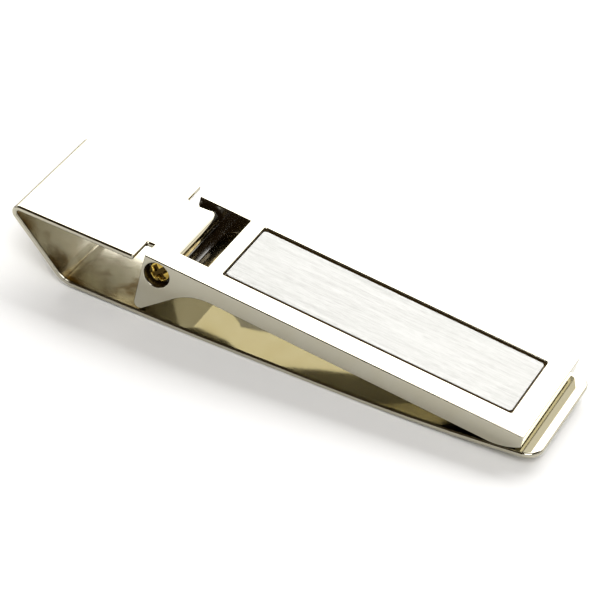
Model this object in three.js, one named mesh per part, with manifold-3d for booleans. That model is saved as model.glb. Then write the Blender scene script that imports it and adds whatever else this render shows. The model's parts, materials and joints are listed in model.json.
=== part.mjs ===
// A hinged money clip: one folded strip of sheet metal, and a cam lever that pinches notes against it.
// Millimetres, +Z up. +X points from the fold towards the lever's tip, and Y is across the clip.
// The origin is the centre of the clip's footprint, on the surface that it lies on.

import * as THREE from 'three';
import { mergeVertices } from 'three/addons/utils/BufferGeometryUtils.js';
import Module from 'manifold-3d';

const wasm = await Module();
wasm.setup();
const DEGREE = Math.PI / 180;

// ---------------------------------------------------------------- driving dimensions

// The strip, followed from the tip of the base round to the hinge. Radii are to its outer face.
const clipWidth = 17;
const stripThickness = 0.68;
const tipSweepRadius = 250;
const tipSweepLength = 26.1;
const baseStraight = 14.75;
const baseKinkAngle = 1.2;
const baseKinkRadius = 120;
const heelStraight = 14.45;
const heelRadius = 3.55;
const heelAngle = 42.5;
const wallLength = 8.08;
const noseRadius = 0.95;
const noseAngle = 138.9;
const shoulderLength = 14.73;
const tongueLength = 3.12;
const knuckleRadius = 1.24;
const knuckleWrap = 288;
const tongueWidth = 10.3;
const baseCornerRadius = 2;

// The lever, in its own frame: the hinge axis at the origin, x along its top face, z square to it.
const leverTilt = 5.63;
const leverLength = 47.4;
const pivotFromEnd = 1.93;
const pivotBelowTop = 1.89;
const leverDepthAtArch = 2.25;
const leverDepthAtJaw = 2.62;
const footRadius = 0.7;
const footDepth = 7.36;
const archRadius = 6.6;
const archFromEnd = 9;
const jawCurveLength = 3.8;
const tipFaceHeight = 1.5;
const slotLength = 6.61;
const slotWidth = 10.88;
const slotDepth = 3.35;
const slotSkin = 0.8;

// The inlay plate and its recess in the lever's top face.
const recessStart = 8.46;
const recessLength = 36.24;
const recessWidth = 11.03;
const recessDepth = 0.66;
const recessCornerRadius = 0.3;
const inlayEndGap = 0.2;
const inlaySideGap = 0.42;
const inlaySunk = 0.13;
const inlayThickness = 0.38;
const adhesiveInset = 0.08;
const adhesiveThickness = 0.08;
const adhesiveLift = 0.04;

// The two hinge screws, their counterbores in the ears, and the bores that they turn in.
const counterboreRadius = 1.58;
const headRadius = 1.3;
const headThickness = 0.8;
const headSunk = 0.5;
const headChamfer = 0.2;
const shankRadius = 0.5;
const shankLength = 6.2;
const earBoreRadius = 0.58;
const seatGap = 0.05;
const crossLength = 2;
const crossWidth = 0.68;
const crossDepth = 0.5;

const arcStep = 3;
const roundSides = 64;
const cornerSteps = 12;
const overcut = 2;

// ---------------------------------------------------------------- geometry and booleans

function toSolid(geometry) {
  const bare = geometry.index ? geometry.clone() : geometry;
  bare.deleteAttribute('normal');
  bare.deleteAttribute('uv');
  const merged = mergeVertices(bare, 1e-5);
  const corners = merged.index.array;
  const kept = [];
  for (let i = 0; i < corners.length; i += 3) {
    const [a, b, c] = [corners[i], corners[i + 1], corners[i + 2]];
    if (a !== b && b !== c && c !== a) kept.push(a, b, c);
  }
  const vertProperties = new Float32Array(merged.attributes.position.array);
  return new wasm.Manifold(new wasm.Mesh({ numProp: 3, vertProperties, triVerts: new Uint32Array(kept) }));
}

function toGeometry(solid) {
  const mesh = solid.getMesh();
  const geometry = new THREE.BufferGeometry();
  geometry.setAttribute('position', new THREE.BufferAttribute(new Float32Array(mesh.vertProperties), 3));
  geometry.setIndex(new THREE.BufferAttribute(new Uint32Array(mesh.triVerts), 1));
  geometry.computeVertexNormals();
  return geometry;
}

// A solid with a side outline in X and Z, reaching half its width to each side of Y = 0.
function acrossClip(outline, width) {
  const geometry = new THREE.ExtrudeGeometry(new THREE.Shape(outline), {
    depth: width,
    steps: 1,
    bevelEnabled: false,
  });
  return toSolid(geometry.rotateX(Math.PI / 2).translate(0, width / 2, 0));
}

// A solid with a rounded rectangle for its plan, between two heights.
function roundedPlate(xMin, xMax, width, cornerRadii, bottom, top) {
  const [startRadius, endRadius] = cornerRadii;
  const half = width / 2;
  const outline = new THREE.Shape();
  outline.moveTo(xMin + startRadius, -half);
  outline.lineTo(xMax - endRadius, -half);
  outline.absarc(xMax - endRadius, endRadius - half, endRadius, -Math.PI / 2, 0);
  outline.lineTo(xMax, half - endRadius);
  outline.absarc(xMax - endRadius, half - endRadius, endRadius, 0, Math.PI / 2);
  outline.lineTo(xMin + startRadius, half);
  outline.absarc(xMin + startRadius, half - startRadius, startRadius, Math.PI / 2, Math.PI);
  outline.lineTo(xMin, startRadius - half);
  outline.absarc(xMin + startRadius, startRadius - half, startRadius, Math.PI, 1.5 * Math.PI);
  const geometry = new THREE.ExtrudeGeometry(outline, {
    depth: top - bottom,
    steps: 1,
    bevelEnabled: false,
    curveSegments: cornerSteps,
  });
  return toSolid(geometry.translate(0, 0, bottom));
}

// A round bore along Y through the origin, between two distances from the clip's middle plane.
function bore(radius, yMin, yMax) {
  const geometry = new THREE.CylinderGeometry(radius, radius, yMax - yMin, roundSides);
  return toSolid(geometry.translate(0, (yMin + yMax) / 2, 0));
}

// Points on an arc, both ends included.
function arcPoints(centre, radius, from, to) {
  const steps = Math.max(4, Math.ceil(Math.abs(to - from) / (arcStep * DEGREE)));
  return Array.from({ length: steps + 1 }, (_, i) => {
    const angle = from + ((to - from) * i) / steps;
    return new THREE.Vector2(centre.x + radius * Math.cos(angle), centre.y + radius * Math.sin(angle));
  });
}

// ---------------------------------------------------------------- the folded strip

// Follows the strip's middle line in the X-Z plane. Every bend turns it clockwise, so the inside of
// each bend, and of the fold as a whole, is on the right of the direction of travel.
class StripPath {
  constructor(start, heading) {
    this.place = start.clone();
    this.heading = heading;
    this.outer = [];
    this.inner = [];
    this.mark();
  }

  mark() {
    const side = new THREE.Vector2(-Math.sin(this.heading), Math.cos(this.heading));
    this.outer.push(this.place.clone().addScaledVector(side, stripThickness / 2));
    this.inner.push(this.place.clone().addScaledVector(side, -stripThickness / 2));
  }

  straight(length) {
    this.place.add(new THREE.Vector2(length, 0).rotateAround(new THREE.Vector2(), this.heading));
    this.mark();
    return this;
  }

  bend(outerRadius, angle) {
    const radius = outerRadius - stripThickness / 2;
    const toCentre = new THREE.Vector2(Math.sin(this.heading), -Math.cos(this.heading));
    this.centre = this.place.clone().addScaledVector(toCentre, radius);
    const steps = Math.max(8, Math.ceil(angle / arcStep));
    for (let i = 0; i < steps; i += 1) {
      this.place.rotateAround(this.centre, (-angle * DEGREE) / steps);
      this.heading -= (angle * DEGREE) / steps;
      this.mark();
    }
    return this;
  }

  outline() {
    return [...this.outer, ...this.inner.slice().reverse()];
  }
}

// The base lies flat along its straight, and sweeps up from it to the tip.
const sweepAngle = (tipSweepLength / tipSweepRadius) / DEGREE;
const sweepMiddle = tipSweepRadius - stripThickness / 2;
const tipEnd = new THREE.Vector2(
  sweepMiddle * Math.sin(sweepAngle * DEGREE),
  stripThickness / 2 + sweepMiddle * (1 - Math.cos(sweepAngle * DEGREE)),
);

const bodyPath = new StripPath(tipEnd, (180 + sweepAngle) * DEGREE)
  .bend(tipSweepRadius, sweepAngle)
  .straight(baseStraight)
  .bend(baseKinkRadius, baseKinkAngle)
  .straight(heelStraight)
  .bend(heelRadius, heelAngle)
  .straight(wallLength)
  .bend(noseRadius, noseAngle)
  .straight(shoulderLength);

const tongueRoot = 0.5;
const tonguePath = new StripPath(bodyPath.place, bodyPath.heading)
  .straight(-tongueRoot);
tonguePath.outer.shift();
tonguePath.inner.shift();
tonguePath.straight(tongueRoot + tongueLength).bend(knuckleRadius, knuckleWrap);

const hinge = tonguePath.centre.clone();
const left = Math.min(...bodyPath.outer.map((point) => point.x));
const right = Math.max(...bodyPath.outer.map((point) => point.x), ...bodyPath.inner.map((point) => point.x));
const footprintMiddle = (left + right) / 2;

function foldedStrip() {
  const clipHeight = 20;
  const plan = roundedPlate(left - overcut, right, clipWidth, [0.01, baseCornerRadius], -overcut, clipHeight);
  const folded = acrossClip(bodyPath.outline(), clipWidth).intersect(plan);
  return toGeometry(folded.add(acrossClip(tonguePath.outline(), tongueWidth)));
}

// ---------------------------------------------------------------- the lever

const leverStart = -pivotFromEnd;
const leverEnd = leverStart + leverLength;
const leverTop = pivotBelowTop;
const archCentre = new THREE.Vector2(leverStart + archFromEnd, leverTop - leverDepthAtArch - archRadius);

// Clockwise from the hinge end of the top face: tip face, jaw curve, underside, arch, ear, foot.
function leverOutline() {
  const jawRise = leverDepthAtJaw - tipFaceHeight;
  const jawRadius = (jawCurveLength ** 2 + jawRise ** 2) / (2 * jawRise);
  const jawCentre = new THREE.Vector2(leverEnd - jawCurveLength, leverTop - leverDepthAtJaw + jawRadius);
  const jawTurn = Math.asin(jawCurveLength / jawRadius);
  const footCentre = new THREE.Vector2(leverStart + footRadius, leverTop - footDepth + footRadius);
  const across = archCentre.clone().sub(footCentre);
  const flankNormal = across.angle() - Math.acos((footRadius + archRadius) / across.length());
  return [
    new THREE.Vector2(leverStart, leverTop),
    new THREE.Vector2(leverEnd, leverTop),
    ...arcPoints(jawCentre, jawRadius, jawTurn - Math.PI / 2, -Math.PI / 2),
    ...arcPoints(archCentre, archRadius, Math.PI / 2, flankNormal - Math.PI),
    ...arcPoints(footCentre, footRadius, flankNormal - 2 * Math.PI, -Math.PI),
  ];
}

// The slot for the knuckle is flat under it, then rises with the arch to keep an even skin below.
function slotOutline() {
  const floor = leverTop - slotDepth;
  const end = leverStart + slotLength;
  const radius = archRadius + slotSkin;
  const low = Math.PI - Math.asin((floor - archCentre.y) / radius);
  const high = Math.acos((end - archCentre.x) / radius);
  return [
    new THREE.Vector2(leverStart - overcut, floor),
    ...arcPoints(archCentre, radius, low, high),
    new THREE.Vector2(end, leverTop + overcut),
    new THREE.Vector2(leverStart - overcut, leverTop + overcut),
  ];
}

function leverBody() {
  const halfWidth = clipWidth / 2;
  const deep = 10;
  const recessFloor = leverTop - recessDepth;
  const recessLeft = leverStart + recessStart;
  const corners = [recessCornerRadius, recessCornerRadius];
  const seat = halfWidth - headSunk - headThickness - seatGap;
  return toGeometry(
    acrossClip(leverOutline(), clipWidth)
      .subtract(acrossClip(slotOutline(), slotWidth))
      .subtract(roundedPlate(recessLeft, recessLeft + recessLength, recessWidth, corners, recessFloor, deep))
      .subtract(bore(earBoreRadius, -halfWidth, halfWidth))
      .subtract(bore(counterboreRadius, seat, halfWidth + overcut))
      .subtract(bore(counterboreRadius, -halfWidth - overcut, -seat)),
  );
}

function inlayPlate() {
  const start = leverStart + recessStart + inlayEndGap;
  const end = start + recessLength - 2 * inlayEndGap;
  const top = leverTop - inlaySunk;
  const corners = [recessCornerRadius, recessCornerRadius];
  return toGeometry(
    roundedPlate(start, end, recessWidth - 2 * inlaySideGap, corners, top - inlayThickness, top),
  );
}

function inlayAdhesive() {
  const start = leverStart + recessStart + adhesiveInset;
  const end = start + recessLength - 2 * adhesiveInset;
  const bottom = leverTop - recessDepth + adhesiveLift;
  const corners = [recessCornerRadius, recessCornerRadius];
  return toGeometry(
    roundedPlate(start, end, recessWidth - 2 * adhesiveInset, corners, bottom, bottom + adhesiveThickness),
  );
}

// ---------------------------------------------------------------- the hinge screws

// The screw's axis is Y, its head's outer face is at Y = 0 and its shank runs towards +Y.
function hingeScrew() {
  const profile = [
    [0, 0],
    [headRadius - headChamfer, 0],
    [headRadius, headChamfer],
    [headRadius, headThickness],
    [shankRadius, headThickness],
    [shankRadius, headThickness + shankLength - headChamfer],
    [shankRadius - headChamfer, headThickness + shankLength],
    [0, headThickness + shankLength],
  ].map(([radius, y]) => new THREE.Vector2(radius, y));
  const turned = toSolid(new THREE.LatheGeometry(profile, roundSides));
  const slot = () => new THREE.BoxGeometry(crossLength, 2 * crossDepth, crossWidth);
  return toGeometry(turned.subtract(toSolid(slot())).subtract(toSolid(slot().rotateY(Math.PI / 2))));
}

// ---------------------------------------------------------------- the assembly

function material(color, roughness) {
  return new THREE.MeshStandardMaterial({ color, roughness, metalness: 1 });
}

function named(name, geometry, look) {
  const mesh = new THREE.Mesh(geometry, look);
  mesh.name = name;
  return mesh;
}

const polishedNickel = material(0xd8d3c6, 0.08);
const brushedSteel = material(0xdededa, 0.38);
const brass = material(0xc9a24c, 0.25);
const adhesive = new THREE.MeshStandardMaterial({ color: 0x33220f, roughness: 0.5, metalness: 0 });

const group = new THREE.Group();
group.position.x = -footprintMiddle;
group.add(named('folded_strip', foldedStrip(), polishedNickel));

const lever = new THREE.Group();
lever.position.set(hinge.x, 0, hinge.y);
lever.rotation.y = leverTilt * DEGREE;
lever.add(named('lever_body', leverBody(), polishedNickel));
lever.add(named('inlay_plate', inlayPlate(), brushedSteel));
lever.add(named('inlay_adhesive', inlayAdhesive(), adhesive));
group.add(lever);

const headFace = clipWidth / 2 - headSunk;
for (const [name, side] of [['hinge_screw_near', -1], ['hinge_screw_far', 1]]) {
  const screw = named(name, hingeScrew(), brass);
  screw.position.set(hinge.x, side * headFace, hinge.y);
  if (side > 0) screw.rotation.z = Math.PI;
  group.add(screw);
}

export default group;
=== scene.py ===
"""A hinged money clip in polished nickel plate, with a brushed inlay and brass screws, on a pale floor.

The clip's lengths are in millimetres, turned into metres by MM, and its angles are in degrees. The
camera's clipping, the floor's size and the lights are in metres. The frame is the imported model's own:
+X runs from the fold towards the lever's tip, +Y across and +Z up.
"""

import json
import math

import bmesh
import bpy
from mathutils import Matrix, Vector


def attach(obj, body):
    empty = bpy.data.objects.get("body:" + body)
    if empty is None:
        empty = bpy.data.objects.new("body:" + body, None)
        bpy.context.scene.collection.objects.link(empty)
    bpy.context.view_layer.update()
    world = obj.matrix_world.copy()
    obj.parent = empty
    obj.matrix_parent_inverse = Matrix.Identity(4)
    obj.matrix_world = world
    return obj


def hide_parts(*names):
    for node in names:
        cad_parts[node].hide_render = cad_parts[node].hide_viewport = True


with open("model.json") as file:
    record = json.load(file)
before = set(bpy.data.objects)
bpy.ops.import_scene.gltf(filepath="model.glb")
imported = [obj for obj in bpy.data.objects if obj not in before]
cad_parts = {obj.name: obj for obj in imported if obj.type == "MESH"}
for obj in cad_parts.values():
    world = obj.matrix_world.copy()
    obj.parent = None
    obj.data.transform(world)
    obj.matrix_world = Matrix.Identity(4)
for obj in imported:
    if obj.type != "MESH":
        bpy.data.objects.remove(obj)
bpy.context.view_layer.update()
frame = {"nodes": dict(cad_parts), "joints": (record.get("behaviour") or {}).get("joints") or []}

MM = 0.001
HALF_TURN = math.pi
QUARTER_TURN = math.pi / 2
HINGE = frame["joints"][0]["pos_m"]

# ------------------------------------------------------------------ the clip's own dimensions

CLIP_WIDTH = 17.0
STRIP_THICKNESS = 0.68

# The strip, in order from the tip of its base to its knuckle. A bend's radius is that of its outer face.
TIP_SWEEP_RADIUS = 250.0
TIP_SWEEP_LENGTH = 26.1
BASE_STRAIGHT = 14.75
BASE_KINK_RADIUS = 120.0
BASE_KINK_ANGLE = 1.2
HEEL_STRAIGHT = 14.45
HEEL_RADIUS = 3.55
HEEL_ANGLE = 42.5
WALL_LENGTH = 8.08
NOSE_RADIUS = 0.95
NOSE_ANGLE = 138.9
SHOULDER_LENGTH = 14.73
TONGUE_LENGTH = 3.12
TONGUE_WIDTH = 10.3
KNUCKLE_RADIUS = 1.24
KNUCKLE_WRAP = 288.0

# The corners and edges of the strip's flat blank, and the line scored across the inside of the heel.
BASE_CORNER_RADIUS = 2.0
SHOULDER_CORNER_RADIUS = 0.25
NOTCH_FILLET_RADIUS = 0.25
STRIP_EDGE_RADIUS = 0.27
CREASE_DEPTH = 0.06
CREASE_HALF_WIDTH = 0.14

# The lever. Lengths along it start at its hinge end, and depths start at its top face.
LEVER_TILT = 5.63
PIVOT_FROM_END = 1.93
PIVOT_BELOW_TOP = 1.89
LEVER_EDGE_RADIUS = 0.14
SLOT_LENGTH = 6.61
SLOT_WIDTH = 10.88
SLOT_DEPTH = 3.35
COUNTERBORE_RADIUS = 1.58
RECESS_START = 8.46
RECESS_LENGTH = 36.24
RECESS_WIDTH = 11.03
INLAY_END_GAP = 0.2
INLAY_SIDE_GAP = 0.42
INLAY_SUNK = 0.13
INLAY_THICKNESS = 0.38
INLAY_CORNER_RADIUS = 0.45
INLAY_EDGE_RADIUS = 0.06

# The screws. HEAD_FACE is how far the middle of a head is from the clip's middle plane.
HEAD_FACE = 8.0
HEAD_RADIUS = 1.3
HEAD_THICKNESS = 0.8
HEAD_DOME = 0.2
HEAD_RIM_RADIUS = 0.16
RIM_SHARE = 0.9
SHANK_RADIUS = 0.5
SHANK_LENGTH = 6.2
CROSS_LENGTH = 2.1
CROSS_WIDTH = 0.82
CROSS_DEPTH = 0.5
CROSS_HUB_RADIUS = 0.6
CROSS_WALL = 0.2
CROSS_TURN = 45.0
CROSS_TAPER = 0.35

# How finely the pieces are cut.
EDGE_STEPS = 4
CORNER_STEPS = 12
SHOULDER_CORNER_STEPS = 4
NOTCH_FILLET_STEPS = 5
INLAY_CORNER_STEPS = 8
CREASE_STEPS = 4
BEND_STEP = math.radians(4)
SPARE_BEND_STEPS = 3
STRIP_INNER_COLUMNS = 6
STRIP_OUTER_COLUMNS = 4
INLAY_COLUMNS = 5
HEAD_RINGS = 32
HEAD_RIM_STEPS = 6
SCREW_SEGMENTS = 128

# How the lever's CAD faces are joined, rounded and told apart.
MERGE_DISTANCE = 0.001
FLAT_ANGLE = math.radians(0.3)
SHARP_ANGLE = math.radians(25)
LARGE_FACE_WEIGHT = 100
FACE_SLACK = 0.05
POLISHED_FACE, SLOT_FACE, HINGE_FACE = range(3)

# ------------------------------------------------------------------ the camera and the lights

CAMERA_AZIMUTH = 20.106
CAMERA_ELEVATION = 36.108
CAMERA_ROLL = 8.923
CAMERA_DISTANCE = 352.742
CAMERA_LENS = 186.572
CAMERA_TARGET = (-0.068, 0.0, 3.96)
SENSOR_WIDTH = 36.0
CLIP_NEAR = 0.01
CLIP_FAR = 20.0


def make_camera():
    """The camera that was fitted to the clip's edges. It looks at the target from an azimuth and an
    elevation, and is rolled about its own line of sight."""
    azimuth = math.radians(CAMERA_AZIMUTH)
    elevation = math.radians(CAMERA_ELEVATION)
    roll = math.radians(CAMERA_ROLL)
    back = Vector((
        math.sin(azimuth) * math.cos(elevation),
        -math.cos(azimuth) * math.cos(elevation),
        math.sin(elevation),
    ))
    level_right = Vector((math.cos(azimuth), math.sin(azimuth), 0))
    level_up = back.cross(level_right)
    right = math.cos(roll) * level_right + math.sin(roll) * level_up
    up = back.cross(right)
    data = bpy.data.cameras.new("camera")
    data.lens = CAMERA_LENS
    data.sensor_width = SENSOR_WIDTH
    data.clip_start = CLIP_NEAR
    data.clip_end = CLIP_FAR
    camera = bpy.data.objects.new("camera", data)
    place = (Vector(CAMERA_TARGET) + back * CAMERA_DISTANCE) * MM
    camera.matrix_world = Matrix.Translation(place) @ Matrix((right, up, back)).transposed().to_4x4()
    bpy.context.scene.collection.objects.link(camera)
    bpy.context.scene.camera = camera


def area_light(name, place, target, size, radiance, colour=(1, 1, 1)):
    """A soft rectangular light that faces a target. Its brightness goes by radiance, whatever its size."""
    data = bpy.data.lights.new(name, "AREA")
    data.shape = "RECTANGLE"
    data.size, data.size_y = size
    data.energy = radiance * math.pi * size[0] * size[1]
    data.color = colour
    light = bpy.data.objects.new(name, data)
    light.location = place
    aim = Vector(target) - Vector(place)
    light.rotation_mode = "QUATERNION"
    light.rotation_quaternion = aim.to_track_quat("-Z", "Y")
    bpy.context.scene.collection.objects.link(light)


# ------------------------------------------------------------------ node helpers


class Nodes:
    """A small helper for building a material's node tree in code."""

    def __init__(self, tree):
        self.tree = tree

    def add(self, kind, **settings):
        """A new node with the given settings."""
        node = self.tree.nodes.new(kind)
        for key, value in settings.items():
            setattr(node, key, value)
        return node

    def link(self, source, target):
        """Joins an output socket to an input socket."""
        self.tree.links.new(source, target)

    def coordinates(self, scale=(1, 1, 1)):
        """Object coordinates in millimetres, multiplied by scale along each axis."""
        place = self.add("ShaderNodeTexCoord")
        mapping = self.add("ShaderNodeMapping")
        mapping.inputs["Scale"].default_value = [s / MM for s in scale]
        self.link(place.outputs["Object"], mapping.inputs["Vector"])
        return mapping.outputs["Vector"]

    def noise(self, vector, scale, detail=2.0, roughness=0.5):
        """A noise between 0 and 1, with scale features to the millimetre."""
        node = self.add("ShaderNodeTexNoise")
        node.inputs["Scale"].default_value = scale
        node.inputs["Detail"].default_value = detail
        node.inputs["Roughness"].default_value = roughness
        self.link(vector, node.inputs["Vector"])
        return node.outputs["Fac"]

    def along(self, axis):
        """Distance along an axis in millimetres, in the object's own frame."""
        place = self.add("ShaderNodeTexCoord")
        split = self.add("ShaderNodeSeparateXYZ")
        self.link(place.outputs["Object"], split.inputs["Vector"])
        return self.maths("DIVIDE", split.outputs[axis], MM)

    def attribute(self, name):
        """A value stored on the mesh's vertices, or 0 where the mesh has none of that name."""
        node = self.add("ShaderNodeAttribute", attribute_name=name)
        return node.outputs["Fac"]

    def remap(self, value, low, high, to_low=0, to_high=1):
        """The value carried from low and high to to_low and to_high, and held at either end."""
        node = self.add("ShaderNodeMapRange")
        for key, number in zip(("From Min", "From Max", "To Min", "To Max"), (low, high, to_low, to_high)):
            node.inputs[key].default_value = number
        self.link(value, node.inputs["Value"])
        return node.outputs["Result"]

    def maths(self, operation, a, b):
        """A sum, product or other operation on two numbers or sockets."""
        node = self.add("ShaderNodeMath", operation=operation)
        for socket, value in zip(node.inputs, (a, b)):
            if isinstance(value, (int, float)):
                socket.default_value = value
            else:
                self.link(value, socket)
        return node.outputs["Value"]

    def mix_colour(self, factor, first, second):
        """The first colour where factor is 0 and the second where it is 1."""
        node = self.add("ShaderNodeMix", data_type="RGBA")
        self.link(factor, node.inputs["Factor"])
        colours = [socket for socket in node.inputs if socket.type == "RGBA"]
        for socket, colour in zip(colours, (first, second)):
            if isinstance(colour, tuple):
                socket.default_value = (*colour, 1)
            else:
                self.link(colour, socket)
        return next(socket for socket in node.outputs if socket.type == "RGBA")

    def bump(self, height, strength, distance):
        """Normals tilted by a height map, whose full height is distance in millimetres."""
        node = self.add("ShaderNodeBump")
        node.inputs["Strength"].default_value = strength
        node.inputs["Distance"].default_value = distance * MM
        self.link(height, node.inputs["Height"])
        return node.outputs["Normal"]


def new_material(name):
    """A new material, its node helper and its surface shader."""
    material = bpy.data.materials.new(name)
    material.use_nodes = True
    return material, Nodes(material.node_tree), material.node_tree.nodes["Principled BSDF"]


# ------------------------------------------------------------------ materials

NICKEL = (0.475, 0.453, 0.367)
NICKEL_WARM = (0.46, 0.432, 0.335)
# Brown of the painted reflection on the inside of the fold.
PAINTED_BROWN_REFLECTION = (0.15, 0.085, 0.014)
# Slot colours, darkened as a painted shade in the recess.
SLOT_PAINTED_SHADE = (0.38, 0.32, 0.19)
SLOT_PAINTED_SHADE_DARK = (0.13, 0.095, 0.04)
BRUSHED_STEEL = (0.46, 0.46, 0.445)
BRUSHED_STEEL_DARK = (0.365, 0.365, 0.35)
PLATE_EDGE = (0.15, 0.09, 0.03)
BRASS = (0.62, 0.46, 0.11)
BRASS_DARK = (0.36, 0.23, 0.045)
# Painted shade down in the screws' cross recess and on their hidden sides.
RECESS_PAINTED_SHADE = (0.035, 0.018, 0.005)
ADHESIVE = (0.08, 0.048, 0.013)
ADHESIVE_LIGHT = (0.19, 0.12, 0.032)
# Near-black painted shade for the gaps round the hinge.
HINGE_SHADE_DARK = (0.006, 0.003, 0.001)
HINGE_SHADE_LIGHT = (0.022, 0.012, 0.004)
FLOOR_PALE = (0.92, 0.92, 0.915)
FLOOR_SHADE = (0.90, 0.90, 0.895)

POLISHED_ROUGHNESS = (0.03, 0.065)
HAIRLINE_ROUGHNESS = 0.05
INSIDE_ROUGHNESS = 0.12
UNPOLISHED_ROUGHNESS = (0.14, 0.2)
BRUSHED_ROUGHNESS = (0.58, 0.46)
BRASS_ROUGHNESS = (0.07, 0.16)
ADHESIVE_ROUGHNESS = (0.35, 0.55)
HINGE_SHADE_ROUGHNESS = (0.12, 0.24)
HINGE_SHADE_IOR = 1.8
FLOOR_ROUGHNESS = 0.9
BRUSHED_ANISOTROPY = 0.6
RECESS_SHADE_SHARE = 0.94

# Where the duller finish and the painted brown reflection inside the fold begin and are full, along X, and
# where the painted reflection thickens, off the strip's middle line.
INSIDE_FINISH_FADE = (-12.0, -17.0)
PAINTED_REFLECTION_SPREAD = (2.5, 8.0)

# Most of a noise's values fall in this span.
NOISE_SPAN = (0.3, 0.7)


def polished_nickel(name):
    """Mirror-polished plate: a faint haze, hairline polishing marks, and a very slight waviness. Inside the
    fold it is duller, and a brown reflection is painted on in patches, more of it towards the edges."""
    material, nodes, shader = new_material(name)
    even = nodes.coordinates()
    along = nodes.coordinates((0.12, 1, 1))
    haze = nodes.noise(even, scale=0.35, detail=3)
    hairlines = nodes.noise(along, scale=16)
    waviness = nodes.noise(even, scale=0.22, detail=1)
    clean = nodes.mix_colour(nodes.remap(haze, 0.35, 0.7), NICKEL, NICKEL_WARM)
    haze_roughness = nodes.remap(haze, 0.3, 0.75, *POLISHED_ROUGHNESS)
    mark_roughness = nodes.remap(hairlines, 0.55, 0.8, to_high=HAIRLINE_ROUGHNESS)
    roughness = nodes.maths("ADD", haze_roughness, mark_roughness)

    in_fold = nodes.remap(nodes.along("X"), *INSIDE_FINISH_FADE)
    inside = nodes.maths("MULTIPLY", nodes.attribute("underside"), in_fold)
    off_middle = nodes.maths("ABSOLUTE", nodes.along("Y"), 0)
    thicker = nodes.remap(off_middle, *PAINTED_REFLECTION_SPREAD, to_high=0.28)
    patches = nodes.maths("ADD", nodes.noise(even, scale=0.26, detail=3), thicker)
    off_edge = nodes.remap(nodes.attribute("side"), 0, 0.5, to_low=1, to_high=0)
    inside_face = nodes.maths("MULTIPLY", inside, off_edge)
    # Painted reflection: brown patches on the fold's inner faces.
    painted_reflection = nodes.maths("MULTIPLY", nodes.remap(patches, 0.64, 0.84), inside_face)
    clouds = nodes.remap(nodes.noise(even, scale=0.5), *NOISE_SPAN, to_low=0.7, to_high=1.3)
    dullness = nodes.maths("MULTIPLY", nodes.maths("MULTIPLY", inside, clouds), INSIDE_ROUGHNESS)

    nodes.link(nodes.mix_colour(painted_reflection, clean, PAINTED_BROWN_REFLECTION), shader.inputs["Base Color"])
    nodes.link(nodes.maths("ADD", roughness, dullness), shader.inputs["Roughness"])
    nodes.link(nodes.bump(waviness, strength=0.25, distance=0.02), shader.inputs["Normal"])
    shader.inputs["Metallic"].default_value = 1
    return material


def slot_nickel_painted_shade(name):
    """Plate on the slot's faces: duller and blotchy, its colour darkened as a painted shade in the recess.
    """
    material, nodes, shader = new_material(name)
    even = nodes.coordinates()
    blotches = nodes.noise(even, scale=0.9, detail=3)
    grain = nodes.noise(even, scale=2.5)
    # Painted shade: the slot's faces are darker because the slot is a recess.
    colour = nodes.mix_colour(nodes.remap(blotches, 0.35, 0.7), SLOT_PAINTED_SHADE_DARK, SLOT_PAINTED_SHADE)
    nodes.link(colour, shader.inputs["Base Color"])
    nodes.link(nodes.remap(grain, *NOISE_SPAN, *UNPOLISHED_ROUGHNESS), shader.inputs["Roughness"])
    nodes.link(nodes.bump(grain, strength=0.15, distance=0.01), shader.inputs["Normal"])
    shader.inputs["Metallic"].default_value = 1
    return material


def brushed_steel(name):
    """Satin plate with a fine grain along X, and brown down its sides."""
    material, nodes, shader = new_material(name)
    fine = nodes.noise(nodes.coordinates((0.05, 1, 1)), scale=17, detail=4, roughness=0.6)
    broad = nodes.noise(nodes.coordinates((0.04, 1, 1)), scale=3.2, detail=3)
    streaks = nodes.maths("ADD", nodes.maths("MULTIPLY", fine, 0.65), nodes.maths("MULTIPLY", broad, 0.35))
    colour = nodes.mix_colour(nodes.remap(streaks, 0.3, 0.55), BRUSHED_STEEL_DARK, BRUSHED_STEEL)
    edge = nodes.remap(nodes.attribute("side"), 0.7, 0.95)
    nodes.link(nodes.mix_colour(edge, colour, PLATE_EDGE), shader.inputs["Base Color"])
    nodes.link(nodes.remap(streaks, *NOISE_SPAN, *BRUSHED_ROUGHNESS), shader.inputs["Roughness"])
    nodes.link(nodes.bump(streaks, strength=0.35, distance=0.02), shader.inputs["Normal"])
    shader.inputs["Metallic"].default_value = 1
    shader.inputs["Anisotropic"].default_value = BRUSHED_ANISOTROPY
    tangent = nodes.add("ShaderNodeTangent", direction_type="RADIAL", axis="X")
    nodes.link(tangent.outputs["Tangent"], shader.inputs["Tangent"])
    return material


def bright_brass(name):
    """Brass with fine marks and darker patches. A dark shade is painted down in the cross recess and
    on the head's side and shank.
    """
    material, nodes, shader = new_material(name)
    even = nodes.coordinates()
    patches = nodes.noise(even, scale=1.6, detail=3)
    marks = nodes.noise(even, scale=14)
    clean = nodes.mix_colour(nodes.remap(patches, 0.35, 0.75), BRASS, BRASS_DARK)
    # Painted shade: the deeper the cross recess, the darker the brass; the head's side and shank are dark
    # all over.
    shade_amount = nodes.remap(nodes.attribute("recess_shade"), 0.25, 0.75, to_high=RECESS_SHADE_SHARE)
    nodes.link(nodes.mix_colour(shade_amount, clean, RECESS_PAINTED_SHADE), shader.inputs["Base Color"])
    nodes.link(nodes.remap(marks, 0.3, 0.75, *BRASS_ROUGHNESS), shader.inputs["Roughness"])
    nodes.link(nodes.bump(marks, strength=0.2, distance=0.01), shader.inputs["Normal"])
    shader.inputs["Metallic"].default_value = 1
    return material


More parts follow.
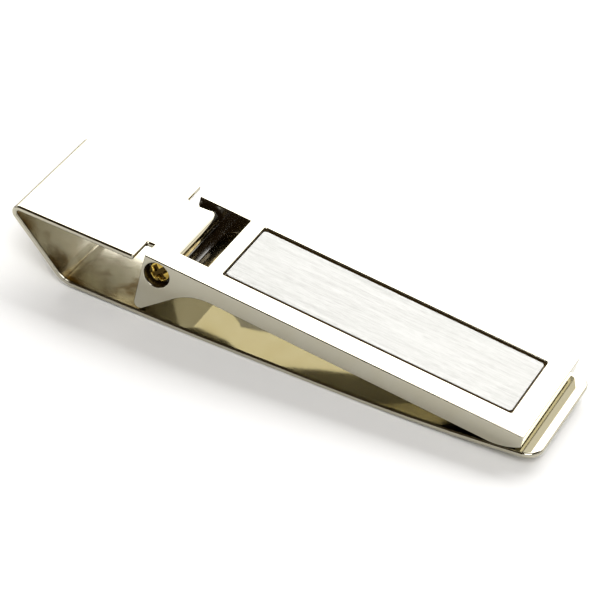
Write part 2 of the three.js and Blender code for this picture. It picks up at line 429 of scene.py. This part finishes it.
def cured_adhesive(name):
    """The mottled brown film that holds the inlay."""
    material, nodes, shader = new_material(name)
    mottle = nodes.noise(nodes.coordinates(), scale=3)
    nodes.link(nodes.mix_colour(mottle, ADHESIVE, ADHESIVE_LIGHT), shader.inputs["Base Color"])
    nodes.link(nodes.remap(mottle, *NOISE_SPAN, *ADHESIVE_ROUGHNESS), shader.inputs["Roughness"])
    return material


def hinge_painted_shade(name):
    """Near-black painted shade with a waxy gloss, in the gaps close round the hinge and the screws' heads.
    """
    material, nodes, shader = new_material(name)
    shade_mottle = nodes.noise(nodes.coordinates(), scale=4, detail=3)
    # Painted shade: near-black colour in the counterbore gaps round the hinge.
    nodes.link(nodes.mix_colour(shade_mottle, HINGE_SHADE_DARK, HINGE_SHADE_LIGHT), shader.inputs["Base Color"])
    nodes.link(nodes.remap(shade_mottle, *NOISE_SPAN, *HINGE_SHADE_ROUGHNESS), shader.inputs["Roughness"])
    nodes.link(nodes.bump(shade_mottle, strength=0.15, distance=0.01), shader.inputs["Normal"])
    shader.inputs["IOR"].default_value = HINGE_SHADE_IOR
    return material


def matt_floor(name):
    """Near-white card."""
    material, nodes, shader = new_material(name)
    grain = nodes.noise(nodes.coordinates(), scale=0.4)
    nodes.link(nodes.mix_colour(grain, FLOOR_PALE, FLOOR_SHADE), shader.inputs["Base Color"])
    shader.inputs["Roughness"].default_value = FLOOR_ROUGHNESS
    return material


# ------------------------------------------------------------------ the strip's path


class StripPath:
    """The strip's middle line in the X-Z plane, from the tip of the base to the end of the knuckle.
    Every bend turns it clockwise, so its outer face is on the left of the direction of travel."""

    def __init__(self, start, heading):
        self.runs = []
        self.length = 0.0
        self.crease = 0.0
        self.shoulder = 0.0
        self.end = (start, heading)

    def straight(self, length):
        """A straight run."""
        start, heading = self.end
        self._add(length, start, heading, None, 1)
        return self

    def bend(self, outer_radius, degrees):
        """A bend, by the radius of its outer face."""
        radius = outer_radius - STRIP_THICKNESS / 2
        angle = math.radians(degrees)
        start, heading = self.end
        self._add(radius * angle, start, heading, radius, math.ceil(angle / BEND_STEP) + SPARE_BEND_STEPS)
        return self

    def _add(self, length, start, heading, radius, steps):
        """A run, with the number of steps that its length is cut into."""
        self.runs.append((self.length, length, start, heading, radius, steps))
        self.length += length
        self.end = self.at(self.length)

    def at(self, distance):
        """The point and heading at a distance along the line, which runs on past either end."""
        run = self.runs[0]
        for candidate in self.runs:
            if distance >= candidate[0]:
                run = candidate
        begins, _, start, heading, radius, _ = run
        travelled = distance - begins
        if radius is None:
            return start + travelled * Vector((math.cos(heading), math.sin(heading))), heading
        centre = start + radius * Vector((math.sin(heading), -math.cos(heading)))
        turned = heading - travelled / radius
        return centre + radius * Vector((-math.sin(turned), math.cos(turned))), turned

    def stations(self, low, high):
        """Distances between low and high that need a row of vertices, without the two ends."""
        found = [
            begins + length * i / steps
            for begins, length, _, _, _, steps in self.runs
            for i in range(steps)
        ]
        crease_steps = range(-CREASE_STEPS, CREASE_STEPS + 1)
        found += [self.crease + step * CREASE_HALF_WIDTH / CREASE_STEPS for step in crease_steps]
        gap = STRIP_EDGE_RADIUS
        return sorted(d for d in found if low + gap < d < high - gap)


def strip_path():
    """The whole strip, run by run, from the upswept tip of the base round to the knuckle's free edge."""
    sweep = TIP_SWEEP_LENGTH / TIP_SWEEP_RADIUS
    sweep_middle = TIP_SWEEP_RADIUS - STRIP_THICKNESS / 2
    tip = Vector((
        sweep_middle * math.sin(sweep),
        STRIP_THICKNESS / 2 + sweep_middle * (1 - math.cos(sweep)),
    ))
    path = StripPath(tip, HALF_TURN + sweep)
    path.bend(TIP_SWEEP_RADIUS, math.degrees(sweep))
    path.straight(BASE_STRAIGHT)
    path.bend(BASE_KINK_RADIUS, BASE_KINK_ANGLE)
    path.straight(HEEL_STRAIGHT)
    heel_begins = path.length
    path.bend(HEEL_RADIUS, HEEL_ANGLE)
    path.crease = (heel_begins + path.length) / 2
    path.straight(WALL_LENGTH)
    path.bend(NOSE_RADIUS, NOSE_ANGLE)
    path.straight(SHOULDER_LENGTH)
    path.shoulder = path.length
    path.straight(TONGUE_LENGTH)
    path.bend(KNUCKLE_RADIUS, KNUCKLE_WRAP)
    return path


def hinge_of(path):
    """The centre of the knuckle in the path's own coordinates."""
    _, _, start, heading, radius, _ = path.runs[-1]
    return start + radius * Vector((math.sin(heading), -math.cos(heading)))


# ------------------------------------------------------------------ plates with rounded edges


class Row:
    """A row of points across a flat plate: one distance along it, and half widths from the middle out.
    outward is the plate's outward direction at the row's end."""

    def __init__(self, along, halves, outward):
        self.along = along
        self.halves = halves
        self.outward = outward
        self.across = [-y for y in reversed(halves)] + halves


def half_row(width, count):
    """The even distances from the middle line of half a row's points, out to width."""
    return [width * (i + 0.5) / (count - 0.5) for i in range(count)]


def spread(inner, outer, count):
    """The even distances of more points, past inner and out to outer."""
    return [inner + (outer - inner) * (i + 1) / count for i in range(count)]


def plate_mesh(name, sections, place, half_thickness, edge_radius):
    """A plate of rounded-edge sections in line, each a list of Rows with equal columns. A section that is
    narrower than the one before it starts on the middle columns of that one's last row.
    place(along, across, height) gives a point and its three directions: along, across and up."""
    points = []
    normals = []
    faces = []
    underside = []
    side = []

    def put(along, across, height, outward, share):
        """A vertex on the rounded edge: share is 0 on the plate's face and 1 on its side."""
        sign = 1 if height > 0 else -1
        offset = edge_radius * math.sin(share * QUARTER_TURN)
        level = half_thickness - edge_radius * (1 - math.cos(share * QUARTER_TURN))
        point, along_way, across_way, up = place(
            along + offset * outward[0], across + offset * outward[1], sign * level
        )
        sideways = along_way * outward[0] + across_way * outward[1]
        normal = sideways.normalized() * math.sin(share * QUARTER_TURN) if share else Vector()
        points.append(point * MM)
        normals.append(normal + up * sign * math.cos(share * QUARTER_TURN))
        underside.append(float(height < 0))
        side.append(share)
        return len(points) - 1

    def face_grid(sign):
        """One of the plate's two faces, as a grid of vertices for each section."""
        grid = []
        for section in sections:
            rows = []
            for row in section:
                if grid and row is section[0]:
                    last = grid[-1][-1]
                    skip = (len(last) - len(row.across)) // 2
                    rows.append(last[skip:len(last) - skip])
                    continue
                rows.append([put(row.along, y, sign, (0, 1), 0) for y in row.across])
            for lower, upper in zip(rows, rows[1:]):
                for i in range(len(lower) - 1):
                    faces.append((lower[i], lower[i + 1], upper[i + 1], upper[i]))
            grid.append(rows)
        return grid

    def boundary(grid):
        """The face's outline as (vertex, along, across, outward), once round."""
        start = sections[0][0]
        loop = [(v, start.along, y, (-1, 0)) for v, y in zip(grid[0][0], start.across)][1:-1]
        right = []
        for number, section in enumerate(sections):
            for i, row in enumerate(section):
                if number and i == 0:
                    continue
                right.append((grid[number][i][-1], row.along, row.across[-1], row.outward))
            if number + 1 < len(sections):
                last = section[-1]
                skip = (len(last.across) - len(sections[number + 1][0].across)) // 2
                for j in range(1, skip + 1):
                    right.append((grid[number][-1][-1 - j], last.along, last.across[-1 - j], (1, 0)))
        end = sections[-1][-1]
        middle = [(v, end.along, y, (1, 0)) for v, y in zip(grid[-1][-1], end.across)][-2:0:-1]
        mirror = {}
        for rows, section in zip(grid, sections):
            for vertices, row in zip(rows, section):
                for j, vertex in enumerate(vertices):
                    mirror[vertex] = vertices[-1 - j]
        left = [(mirror[v], x, -y, (out[0], -out[1])) for v, x, y, out in reversed(right)]
        return loop + right + middle + left

    upper = boundary(face_grid(1))
    lower = boundary(face_grid(-1))
    shares = [i / EDGE_STEPS for i in range(1, EDGE_STEPS + 1)]
    rings = [[entry[0] for entry in upper]]
    rings += [[put(x, y, 1, out, share) for _, x, y, out in upper] for share in shares]
    rings += [[put(x, y, -1, out, share) for _, x, y, out in lower] for share in reversed(shares)]
    rings += [[entry[0] for entry in lower]]
    for ring, following in zip(rings, rings[1:]):
        count = len(ring)
        for i in range(count):
            j = (i + 1) % count
            faces.append((ring[i], ring[j], following[j], following[i]))

    mesh = bpy.data.meshes.new(name)
    mesh.from_pydata(points, [], faces)
    work = bmesh.new()
    work.from_mesh(mesh)
    bmesh.ops.recalc_face_normals(work, faces=work.faces)
    work.to_mesh(mesh)
    work.free()
    mesh.shade_smooth()
    mesh.normals_split_custom_set_from_vertices([normal.normalized() for normal in normals])
    for title, values in (("underside", underside), ("side", side)):
        mesh.attributes.new(title, "FLOAT", "POINT").data.foreach_set("value", values)
    return mesh


def quarter_steps(count):
    """The angles of an even sweep through a quarter turn, with both ends."""
    return [QUARTER_TURN * i / count for i in range(count + 1)]


def strip_sections(path):
    """The flat blank that the strip is folded from: the wide body, then the narrower tongue."""
    edge = STRIP_EDGE_RADIUS
    half = CLIP_WIDTH / 2
    full = half - edge
    tongue = TONGUE_WIDTH / 2
    root = tongue + NOTCH_FILLET_RADIUS
    shoulder = path.shoulder
    corner = BASE_CORNER_RADIUS

    def body_row(along, width, outward):
        """A row of the wide body, whose middle columns reach out to the tongue's root."""
        middle = half_row(root * width / full, STRIP_INNER_COLUMNS)
        return Row(along, middle + spread(middle[-1], width, STRIP_OUTER_COLUMNS), outward)

    def tongue_row(along, width, outward):
        return Row(along, half_row(width, STRIP_INNER_COLUMNS), outward)

    body = [
        body_row(
            corner - (corner - edge) * math.cos(turn),
            half - corner + (corner - edge) * math.sin(turn),
            (-math.cos(turn), math.sin(turn)),
        )
        for turn in quarter_steps(CORNER_STEPS)
    ]
    body += [body_row(d, full, (0, 1)) for d in path.stations(corner, shoulder - SHOULDER_CORNER_RADIUS)]
    nip = SHOULDER_CORNER_RADIUS
    for turn in quarter_steps(SHOULDER_CORNER_STEPS):
        row = body_row(
            shoulder - nip + (nip - edge) * math.sin(turn), full, (math.sin(turn), math.cos(turn))
        )
        row.halves[-1] = half - nip + (nip - edge) * math.cos(turn)
        body.append(Row(row.along, row.halves, row.outward))

    fillet = NOTCH_FILLET_RADIUS
    tongue_rows = [
        tongue_row(
            shoulder + fillet - (fillet + edge) * math.cos(turn),
            root - (fillet + edge) * math.sin(turn),
            (math.cos(turn), math.sin(turn)),
        )
        for turn in quarter_steps(NOTCH_FILLET_STEPS)
    ]
    tongue_rows += [
        tongue_row(d, tongue - edge, (0, 1)) for d in path.stations(shoulder + fillet, path.length)
    ]
    tongue_rows.append(tongue_row(path.length - edge, tongue - edge, (1, 1)))
    return [body, tongue_rows]


def crease_dip(distance):
    """The depth and slope of the scored line across the inside of the heel bend."""
    share = distance / CREASE_HALF_WIDTH
    if abs(share) >= 1:
        return 0.0, 0.0
    depth = CREASE_DEPTH * (1 + math.cos(share * HALF_TURN)) / 2
    slope = -CREASE_DEPTH * HALF_TURN / (2 * CREASE_HALF_WIDTH) * math.sin(share * HALF_TURN)
    return depth, slope


def make_strip(path, offset, material):
    """The strip, folded: each row of the flat blank goes to its place along the path, moved by offset."""

    def place(along, across, height):
        middle, heading = path.at(along)
        outer = Vector((-math.sin(heading), math.cos(heading)))
        dip, slope = crease_dip(along - path.crease) if height < 0 else (0, 0)
        spot = middle + offset + outer * (height + dip)
        forward = Vector((math.cos(heading), 0, math.sin(heading)))
        outward = Vector((outer.x, 0, outer.y))
        return Vector((spot.x, across, spot.y)), forward, Vector((0, 1, 0)), outward - forward * slope

    mesh = plate_mesh("strip_skin", strip_sections(path), place, STRIP_THICKNESS / 2, STRIP_EDGE_RADIUS)
    strip = bpy.data.objects.new("strip_skin", mesh)
    bpy.context.scene.collection.objects.link(strip)
    strip.data.materials.append(material)
    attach(strip, "clip")
    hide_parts("folded_strip")


# ------------------------------------------------------------------ pieces made from the CAD solids


def lever_frame():
    """The lever's own frame: the hinge axis at its origin, x along the top face and z square to it."""
    return Matrix.Translation(Vector(HINGE)) @ Matrix.Rotation(math.radians(LEVER_TILT), 4, "Y")


def lever_finish(centre, normal):
    """Which finish a face of the lever has, from its middle and normal in the lever's own frame. The gaps
    close round the hinge line get a painted shade."""
    across = abs(centre.y)
    depth = PIVOT_BELOW_TOP - centre.z
    near_hinge = math.hypot(centre.x, centre.z) < COUNTERBORE_RADIUS + FACE_SLACK
    if near_hinge and across < CLIP_WIDTH / 2 - FACE_SLACK:
        return HINGE_FACE
    slot_end = SLOT_LENGTH - PIVOT_FROM_END
    over_slot = across < SLOT_WIDTH / 2 + FACE_SLACK and centre.x < slot_end + FACE_SLACK
    facing_up = normal.z > -FACE_SLACK
    if over_slot and facing_up and FACE_SLACK < depth < SLOT_DEPTH + FACE_SLACK:
        return SLOT_FACE
    return POLISHED_FACE


def make_lever(finishes):
    """A copy of the lever's CAD solid with its flat faces made whole and its edges rounded. finishes holds
    the materials of its polished, slot and hinge faces."""
    mesh = frame["nodes"]["lever_body"].data.copy()
    work = bmesh.new()
    work.from_mesh(mesh)
    bmesh.ops.remove_doubles(work, verts=work.verts, dist=MERGE_DISTANCE * MM)
    bmesh.ops.dissolve_limit(
        work, angle_limit=FLAT_ANGLE, verts=work.verts, edges=work.edges, use_dissolve_boundaries=False
    )
    work.to_mesh(mesh)
    work.free()
    mesh.name = "lever_skin"
    mesh.shade_smooth()
    mesh.materials.clear()
    for finish in finishes:
        mesh.materials.append(finish)
    to_lever = lever_frame().inverted()
    for face in mesh.polygons:
        face.material_index = lever_finish(to_lever @ face.center / MM, to_lever.to_3x3() @ face.normal)
    piece = bpy.data.objects.new("lever_skin", mesh)
    bpy.context.scene.collection.objects.link(piece)
    bevel = piece.modifiers.new("edges", "BEVEL")
    bevel.width = LEVER_EDGE_RADIUS * MM
    bevel.segments = EDGE_STEPS
    bevel.limit_method = "ANGLE"
    bevel.angle_limit = SHARP_ANGLE
    bevel.use_clamp_overlap = False
    bevel.loop_slide = False
    piece.modifiers.new("normals", "WEIGHTED_NORMAL").weight = LARGE_FACE_WEIGHT
    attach(piece, "lever")
    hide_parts("lever_body")


def make_inlay(material):
    """The brushed plate, built in the lever's own frame so that its grain runs along the lever."""
    edge = INLAY_EDGE_RADIUS
    corner = INLAY_CORNER_RADIUS
    half_length = RECESS_LENGTH / 2 - INLAY_END_GAP
    half_width = RECESS_WIDTH / 2 - INLAY_SIDE_GAP

    def row(along, width, outward):
        return Row(along, half_row(width, INLAY_COLUMNS), outward)

    start = [
        row(
            corner - half_length - (corner - edge) * math.cos(turn),
            half_width - corner + (corner - edge) * math.sin(turn),
            (-math.cos(turn), math.sin(turn)),
        )
        for turn in quarter_steps(INLAY_CORNER_STEPS)
    ]
    end = [Row(-r.along, r.halves, (-r.outward[0], r.outward[1])) for r in reversed(start)]

    def place(along, across, height):
        return Vector((along, across, height)), Vector((1, 0, 0)), Vector((0, 1, 0)), Vector((0, 0, 1))

    mesh = plate_mesh("inlay_face", [start + end], place, INLAY_THICKNESS / 2, edge)
    inlay = bpy.data.objects.new("inlay_face", mesh)
    bpy.context.scene.collection.objects.link(inlay)
    mesh.materials.append(material)
    middle = Vector((
        RECESS_START - PIVOT_FROM_END + RECESS_LENGTH / 2,
        0,
        PIVOT_BELOW_TOP - INLAY_SUNK - INLAY_THICKNESS / 2,
    ))
    inlay.matrix_world = lever_frame() @ Matrix.Translation(middle * MM)
    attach(inlay, "lever")
    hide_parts("inlay_plate")


# ------------------------------------------------------------------ the screws


def cross_recess(across, up):
    """How deep the cross recess is at a point on a screw's head."""
    point = Matrix.Rotation(math.radians(CROSS_TURN), 2) @ Vector((across, up))
    across, up = point
    radius = point.length
    arm = CROSS_LENGTH / 2
    half = CROSS_WIDTH / 2
    lying = max(abs(across) - arm, abs(up) - half)
    standing = max(abs(up) - arm, abs(across) - half)
    inside = -min(lying, standing, radius - CROSS_HUB_RADIUS)
    share = min(1.0, max(0.0, inside / CROSS_WALL))
    taper = 1 - CROSS_TAPER * (radius / arm) ** 2
    return CROSS_DEPTH * taper * share ** 2 * (3 - 2 * share)


def screw_profile():
    """Radius and height of each ring of a screw, from the middle of its head down to its end."""
    flat = HEAD_RADIUS - HEAD_RIM_RADIUS
    profile = []
    for i in range(1, HEAD_RINGS + 1):
        radius = flat * i / HEAD_RINGS
        profile.append((radius, -HEAD_DOME * (radius / flat) ** 2))
    for turn in quarter_steps(HEAD_RIM_STEPS)[1:]:
        height = HEAD_RIM_RADIUS * (math.cos(turn) - 1)
        profile.append((flat + HEAD_RIM_RADIUS * math.sin(turn), height - HEAD_DOME))
    end = -HEAD_THICKNESS - SHANK_LENGTH
    point = SHANK_RADIUS / 2
    profile += [(HEAD_RADIUS, -HEAD_THICKNESS), (SHANK_RADIUS, -HEAD_THICKNESS)]
    profile += [(SHANK_RADIUS, end + point), (point, end)]
    return profile


def make_screw(side, material):
    """side is -1 for the near screw and 1 for the far one; both heads face outward."""
    work = bmesh.new()
    recess_shade = work.verts.layers.float.new("recess_shade")

    def put(across, up, height):
        place = (HINGE[0] + across * MM, side * (HEAD_FACE + height) * MM, HINGE[2] + up * MM)
        return work.verts.new(place)

    # Each vertex stores how much painted shade it gets.
    def mark(vertex, share):
        vertex[recess_shade] = share
        return vertex

    centre = mark(put(0, 0, -cross_recess(0, 0)), 1)
    previous = None
    for radius, height in screw_profile():
        ring = []
        for i in range(SCREW_SEGMENTS):
            turn = 2 * HALF_TURN * i / SCREW_SEGMENTS
            across, up = radius * math.cos(turn), radius * math.sin(turn)
            on_face = height > -HEAD_DOME - HEAD_RIM_RADIUS * RIM_SHARE
            dip = cross_recess(across, up) if on_face else 0
            ring.append(mark(put(across, up, height - dip), dip / CROSS_DEPTH if on_face else 1))
        for i in range(SCREW_SEGMENTS):
            j = (i + 1) % SCREW_SEGMENTS
            if previous:
                work.faces.new((previous[i], previous[j], ring[j], ring[i]))
            else:
                work.faces.new((centre, ring[j], ring[i]))
        previous = ring
    work.faces.new(previous)
    bmesh.ops.recalc_face_normals(work, faces=work.faces)
    name = "screw_near" if side < 0 else "screw_far"
    mesh = bpy.data.meshes.new(name)
    work.to_mesh(mesh)
    work.free()
    mesh.shade_smooth()
    mesh.materials.append(material)
    screw = bpy.data.objects.new(name, mesh)
    bpy.context.scene.collection.objects.link(screw)
    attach(screw, "clip")
    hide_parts("hinge_screw_near" if side < 0 else "hinge_screw_far")


# ------------------------------------------------------------------ the stage

FLOOR_SIZE = 3.0
FLOOR_DROP = 0.01
STUDIO_LOW = (0.035, 0.022, 0.008)
STUDIO_HIGH = (0.05, 0.035, 0.018)
STUDIO_FADE_END = 0.8

FAR_ROW_Y = 0.78
FAR_ROW_Z = 0.66
FAR_ROW_AIM_Z = 0.275
FAR_ROW_HEIGHT = 0.64
FAR_ROW = (
    # name, x, width, radiance
    ("far_softbox", -0.39, 1.62, 5.2),
    ("far_strip", 0.53, 0.22, 2.2),
    ("right_softbox", 1.05, 0.82, 0.6),
)
CREAM = (1, 0.95, 0.85)
PANEL_Z = 0.5
PANEL_AIM = (0, 0, 0.1)
PANEL_HEIGHT = 0.6
PANEL_RADIANCE = 0.8
PANELS = (
    # name, x, y, width
    ("near_panel", 0.53, -1.08, 1.55),
    ("left_panel", -1.18, -0.21, 1.7),
    ("right_panel", 1.2, 0.0, 1.3),
)


def make_floor():
    """A square floor, just under the clip so that the two never share a plane."""
    mesh = bpy.data.meshes.new("floor")
    half = FLOOR_SIZE / 2
    drop = -FLOOR_DROP * MM
    corners = [(-half, -half, drop), (half, -half, drop), (half, half, drop), (-half, half, drop)]
    mesh.from_pydata(corners, [], [(0, 1, 2, 3)])
    floor = bpy.data.objects.new("floor", mesh)
    bpy.context.scene.collection.objects.link(floor)
    mesh.materials.append(matt_floor("floor"))


def make_world():
    """The studio's unlit walls and ceiling, in warm dark brown."""
    world = bpy.data.worlds.new("studio")
    bpy.context.scene.world = world
    world.use_nodes = True
    nodes = Nodes(world.node_tree)
    background = world.node_tree.nodes["Background"]
    place = nodes.add("ShaderNodeTexCoord")
    split = nodes.add("ShaderNodeSeparateXYZ")
    nodes.link(place.outputs["Generated"], split.inputs["Vector"])
    ramp = nodes.add("ShaderNodeValToRGB")
    stops = zip(ramp.color_ramp.elements, (0, STUDIO_FADE_END), (STUDIO_LOW, STUDIO_HIGH))
    for element, position, colour in stops:
        element.position = position
        element.color = (*colour, 1)
    nodes.link(split.outputs["Z"], ramp.inputs["Fac"])
    nodes.link(ramp.outputs["Color"], background.inputs["Color"])
    background.inputs["Strength"].default_value = 1.0


def light_stage():
    """A row of softboxes on the far side, which the clip's tops mirror, a cream panel lower down, a soft
    light from the near side, and dim panels all round for the other views."""
    make_world()
    for name, x, width, radiance in FAR_ROW:
        place = (x, FAR_ROW_Y, FAR_ROW_Z)
        area_light(name, place, (x, 0, FAR_ROW_AIM_Z), (width, FAR_ROW_HEIGHT), radiance)
    area_light("far_low_panel", (0.125, 0.99, 0.235), (0.125, 0, -0.255), (2.65, 0.31), 1.5, colour=CREAM)
    area_light("near_fill", (0.4, -0.75, 1.05), (0, 0, 0), (0.85, 0.85), 5.0)
    for name, x, y, width in PANELS:
        area_light(name, (x, y, PANEL_Z), PANEL_AIM, (width, PANEL_HEIGHT), PANEL_RADIANCE)
    area_light("overhead_panel", (0.17, 0, 1.3), (0.17, 0, 0), (0.66, 0.3), 1.0)
    bpy.context.scene.view_settings.view_transform = "Standard"
    bpy.context.scene.view_settings.look = "None"


# ------------------------------------------------------------------ the build

make_camera()

path = strip_path()
hinge_point = Vector((HINGE[0], HINGE[2])) / MM
make_strip(path, hinge_point - hinge_of(path), polished_nickel("nickel_strip"))
make_lever([
    polished_nickel("nickel_lever"),
    slot_nickel_painted_shade("nickel_slot"),
    hinge_painted_shade("hinge_painted_shade"),
])
make_inlay(brushed_steel("brushed_inlay"))
brass = bright_brass("brass")
for side in (-1, 1):
    make_screw(side, brass)
film = frame["nodes"]["inlay_adhesive"]
film.data.materials.clear()
film.data.materials.append(cured_adhesive("adhesive"))

make_floor()
light_stage()
